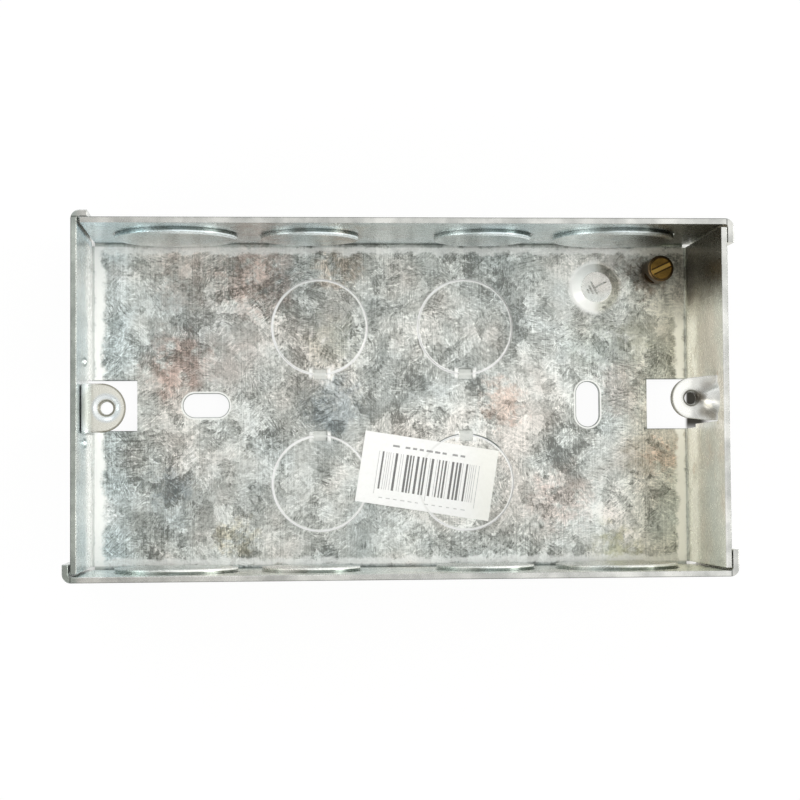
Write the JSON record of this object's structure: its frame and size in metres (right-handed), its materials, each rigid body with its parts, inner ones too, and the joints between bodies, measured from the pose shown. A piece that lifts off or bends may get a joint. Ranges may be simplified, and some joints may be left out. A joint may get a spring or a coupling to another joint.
{
  "type": "flush back box",
  "caption": "Galvanised steel flush back box for a twin wall accessory: folded tray with knockouts, a fixed lug, a sliding lug and a brass earth terminal.",
  "frame": {"origin": "centre of the back face, the underside of the base that lies against the wall", "axes": "+Z out of the open mouth, +X along the length towards the fixed lug, +Y across the box towards the earth pillar"},
  "size_m": [0.1371, 0.075, 0.035],
  "materials": {
    "galvanised_steel": "hot-dip galvanised with a soft spangle",
    "brass": "turned, dulled",
    "label_paper": "matt white"
  },
  "bodies": {
    "box": {"back_box": "galvanised_steel", "earth_pillar": "brass", "earth_screw": "brass", "paper_label": "label_paper"},
    "sliding_lug": {"adjustable_lug": "galvanised_steel"}
  },
  "joints": [
    {"name": "lug_slide", "type": "slide", "parent": "box", "child": "sliding_lug", "axis": [0, 1, 0], "range_m": [-0.0006, 0.0038]}
  ]
}
